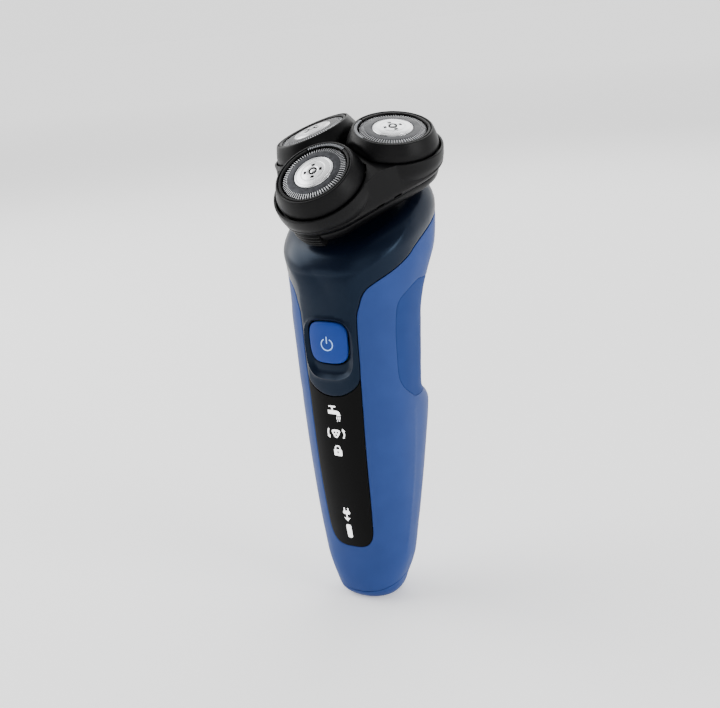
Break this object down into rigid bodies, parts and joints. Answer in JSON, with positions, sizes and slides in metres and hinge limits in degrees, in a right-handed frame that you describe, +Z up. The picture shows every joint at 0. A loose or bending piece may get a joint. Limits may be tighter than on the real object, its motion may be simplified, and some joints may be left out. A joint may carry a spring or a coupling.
{
  "type": "rotary electric shaver",
  "caption": "Cordless rotary shaver: waisted blue handle with dark front, display strip and power button; tilted head whose ringed cutters flex, spin, flip open and pull off.",
  "frame": {"origin": "middle of the bounding box's base, level with the small flat foot, whose centre lies 8.18 mm in front of it", "axes": "+Z up the handle towards the head, -Y the user's side with the button and display, +X to the right seen from the front"},
  "size_m": [0.0594, 0.0574, 0.1583],
  "materials": {
    "housing_blue": "satin moulded plastic",
    "grip_blue": "finely textured soft-touch plastic",
    "cover_navy": "satin moulded plastic",
    "display_black": "polished smoked window",
    "head_black": "fine satin plastic",
    "button_blue": "satin plastic",
    "seal_rubber": "matt rubber",
    "guard_steel": "ground steel",
    "disc_silver": "finely brushed steel",
    "works_steel": "plain steel",
    "contact_brass": "plated brass",
    "board_green": "lacquered circuit board",
    "cell_wrap": "shrink wrap",
    "works_ivory": "natural plastic"
  },
  "bodies": {
    "handle": {"main_housing": "housing_blue", "front_cover": "cover_navy", "rear_grip": "grip_blue", "display_window": "display_black", "bottom_cap": "housing_blue", "charging_socket": "head_black", "charge_pin_1": "contact_brass", "charge_pin_2": "contact_brass", "battery": "cell_wrap", "inner_frame": "head_black", "circuit_board": "board_green", "light_guide": "works_ivory", "power_switch": "head_black", "button_seal": "seal_rubber", "motor_can": "works_steel", "motor_bracket": "works_steel", "bracket_screw_1": "works_steel", "bracket_screw_2": "works_steel", "neck_collar": "head_black", "shaft_seal": "seal_rubber"},
    "button": {"power_button": "button_blue"},
    "motor_shaft": {"drive_shaft": "works_steel"},
    "shaving_unit": {"hair_chamber": "head_black", "coupling_sleeve": "head_black", "gear_plate": "works_steel", "hinge_pin": "works_steel", "plate_screw_1": "works_steel", "plate_screw_2": "works_steel", "plate_screw_3": "works_steel"},
    "centre_gear": {"central_gear": "works_ivory"},
    "release_latch": {"release_button": "head_black"},
    "holder": {"holder_frame": "head_black"},
    "drive_1": {"drive_gear_1": "works_ivory"},
    "gimbal_1": {"gimbal_ring_1": "head_black"},
    "flex_head_1": {"flex_ring_1": "head_black", "cutter_guard_1": "guard_steel", "cap_disc_1": "disc_silver"},
    "cutter_1": {"rotary_cutter_1": "works_steel"},
    "keeper_1": {"retaining_ring_1": "head_black"},
    "drive_2": {"drive_gear_2": "works_ivory"},
    "gimbal_2": {"gimbal_ring_2": "head_black"},
    "flex_head_2": {"flex_ring_2": "head_black", "cutter_guard_2": "guard_steel", "cap_disc_2": "disc_silver"},
    "cutter_2": {"rotary_cutter_2": "works_steel"},
    "keeper_2": {"retaining_ring_2": "head_black"},
    "drive_3": {"drive_gear_3": "works_ivory"},
    "gimbal_3": {"gimbal_ring_3": "head_black"},
    "flex_head_3": {"flex_ring_3": "head_black", "cutter_guard_3": "guard_steel", "cap_disc_3": "disc_silver"},
    "cutter_3": {"rotary_cutter_3": "works_steel"},
    "keeper_3": {"retaining_ring_3": "head_black"}
  },
  "joints": [
    {"name": "button_press", "type": "slide", "parent": "handle", "child": "button", "axis": [0, 1, 0], "range_m": [0, 0.0006], "stiffness_N_per_m": 2500, "springref_m": -0.0003},
    {"name": "motor_spin", "type": "hinge", "parent": "handle", "child": "motor_shaft", "pos_m": [0, 0.00481, 0.13226], "axis": [0, -0.3746, 0.9272], "continuous": true},
    {"name": "unit_pull_off", "type": "slide", "parent": "handle", "child": "shaving_unit", "axis": [0, -0.3746, 0.9272], "range_m": [0, 0.03]},
    {"name": "centre_gear_spin", "type": "hinge", "parent": "shaving_unit", "child": "centre_gear", "pos_m": [0, 0.00294, 0.13689], "axis": [0, -0.3746, 0.9272], "continuous": true},
    {"name": "latch_press", "type": "slide", "parent": "shaving_unit", "child": "release_latch", "axis": [0, 0.9272, 0.3746], "range_m": [0, 0.0011], "stiffness_N_per_m": 1500, "springref_m": -0.0003},
    {"name": "holder_swing", "type": "hinge", "parent": "shaving_unit", "child": "holder", "pos_m": [0, 0.02376, 0.14514], "axis": [-1, 0, 0], "range_deg": [0, 85]},
    {"name": "drive_spin_1", "type": "hinge", "parent": "shaving_unit", "child": "drive_1", "pos_m": [0, -0.01097, 0.13127], "axis": [0, -0.3746, 0.9272], "continuous": true},
    {"name": "flex_in_out_1", "type": "hinge", "parent": "holder", "child": "gimbal_1", "pos_m": [0, -0.01516, 0.13992], "axis": [1, 0, 0], "range_deg": [-3.5, 3.5], "stiffness_Nm_per_rad": 0.4},
    {"name": "flex_sideways_1", "type": "hinge", "parent": "gimbal_1", "child": "flex_head_1", "pos_m": [0, -0.01516, 0.13992], "axis": [0, -0.7986, -0.6018], "range_deg": [-3.5, 3.5], "stiffness_Nm_per_rad": 0.4},
    {"name": "cutter_spin_1", "type": "hinge", "parent": "flex_head_1", "child": "cutter_1", "pos_m": [0, -0.01613, 0.1412], "axis": [0, -0.6018, 0.7986], "continuous": true},
    {"name": "keeper_turn_1", "type": "hinge", "parent": "flex_head_1", "child": "keeper_1", "pos_m": [0, -0.01613, 0.1412], "axis": [0, -0.6018, 0.7986], "range_deg": [0, 25]},
    {"name": "drive_spin_2", "type": "hinge", "parent": "shaving_unit", "child": "drive_2", "pos_m": [0.01299, 0.00989, 0.1397], "axis": [0, -0.3746, 0.9272], "continuous": true},
    {"name": "flex_in_out_2", "type": "hinge", "parent": "holder", "child": "gimbal_2", "pos_m": [0.01355, 0.0066, 0.14872], "axis": [-0.5, 0.803, 0.3244], "range_deg": [-3.5, 3.5], "stiffness_Nm_per_rad": 0.4},
    {"name": "flex_sideways_2", "type": "hinge", "parent": "gimbal_2", "child": "flex_head_2", "pos_m": [0.01355, 0.0066, 0.14872], "axis": [0.8365, 0.5448, -0.0591], "range_deg": [-3.5, 3.5], "stiffness_Nm_per_rad": 0.4},
    {"name": "cutter_spin_2", "type": "hinge", "parent": "flex_head_2", "child": "cutter_2", "pos_m": [0.01391, 0.00622, 0.15023], "axis": [0.2241, -0.2419, 0.9441], "continuous": true},
    {"name": "keeper_turn_2", "type": "hinge", "parent": "flex_head_2", "child": "keeper_2", "pos_m": [0.01391, 0.00622, 0.15023], "axis": [0.2241, -0.2419, 0.9441], "range_deg": [0, 25]},
    {"name": "drive_spin_3", "type": "hinge", "parent": "shaving_unit", "child": "drive_3", "pos_m": [-0.01299, 0.00989, 0.1397], "axis": [0, -0.3746, 0.9272], "continuous": true},
    {"name": "flex_in_out_3", "type": "hinge", "parent": "holder", "child": "gimbal_3", "pos_m": [-0.01355, 0.0066, 0.14872], "axis": [-0.5, -0.803, -0.3244], "range_deg": [-3.5, 3.5], "stiffness_Nm_per_rad": 0.4},
    {"name": "flex_sideways_3", "type": "hinge", "parent": "gimbal_3", "child": "flex_head_3", "pos_m": [-0.01355, 0.0066, 0.14872], "axis": [-0.8365, 0.5448, -0.0591], "range_deg": [-3.5, 3.5], "stiffness_Nm_per_rad": 0.4},
    {"name": "cutter_spin_3", "type": "hinge", "parent": "flex_head_3", "child": "cutter_3", "pos_m": [-0.01391, 0.00622, 0.15023], "axis": [-0.2241, -0.2419, 0.9441], "continuous": true},
    {"name": "keeper_turn_3", "type": "hinge", "parent": "flex_head_3", "child": "keeper_3", "pos_m": [-0.01391, 0.00622, 0.15023], "axis": [-0.2241, -0.2419, 0.9441], "range_deg": [0, 25]}
  ],
  "couplings": [
    {"joint": "centre_gear_spin", "follows": "motor_spin", "ratio": 1},
    {"joint": "drive_spin_1", "follows": "motor_spin", "ratio": -1.1429},
    {"joint": "cutter_spin_1", "follows": "motor_spin", "ratio": -1.1429},
    {"joint": "drive_spin_2", "follows": "motor_spin", "ratio": -1.1429},
    {"joint": "cutter_spin_2", "follows": "motor_spin", "ratio": -1.1429},
    {"joint": "drive_spin_3", "follows": "motor_spin", "ratio": -1.1429},
    {"joint": "cutter_spin_3", "follows": "motor_spin", "ratio": -1.1429}
  ]
}
